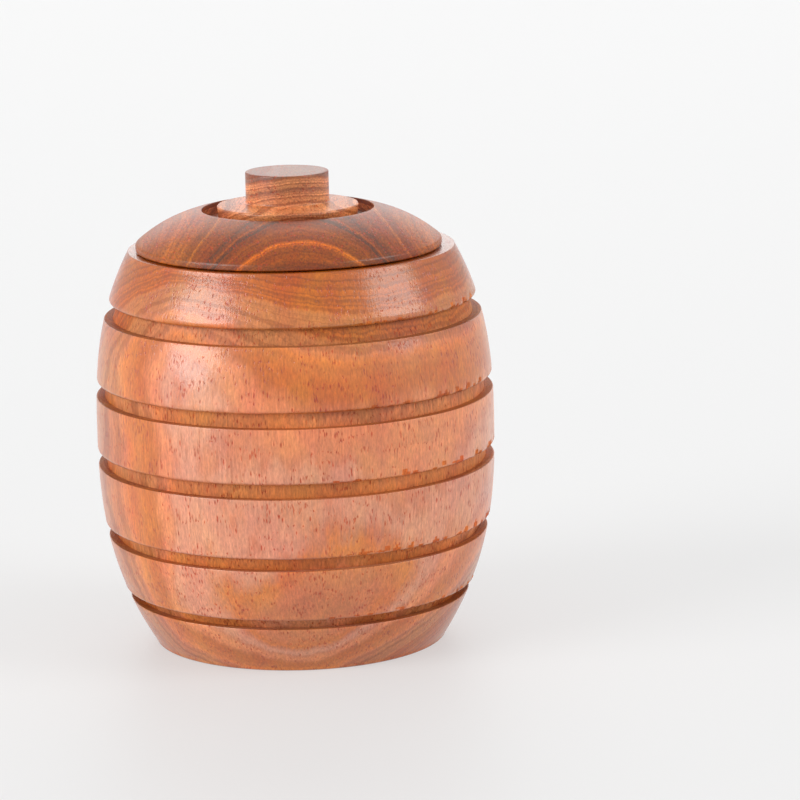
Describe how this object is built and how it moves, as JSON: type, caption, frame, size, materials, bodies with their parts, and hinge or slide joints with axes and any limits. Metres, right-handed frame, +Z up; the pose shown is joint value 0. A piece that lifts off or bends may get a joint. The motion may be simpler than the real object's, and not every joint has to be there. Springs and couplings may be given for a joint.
{
  "type": "honey jar",
  "caption": "Turned wooden honey jar, shut: a grooved barrel body with a flat foot, and a domed lid with a knob resting on its rim.",
  "frame": {"origin": "centre of the flat foot, on the surface that the jar stands on", "axes": "+Z up along the barrel's turning axis, +X to the right and +Y away from the viewer as in the picture"},
  "size_m": [0.102, 0.102, 0.1215],
  "materials": {
    "body_wood": "satin clear lacquer over turned hardwood, salmon to orange-brown, with the growth rings showing",
    "lid_wood": "satin clear lacquer over a darker red-brown blank of the same hardwood"
  },
  "bodies": {
    "root": {"jar_body": "body_wood", "lid": "lid_wood"}
  },
  "joints": []
}
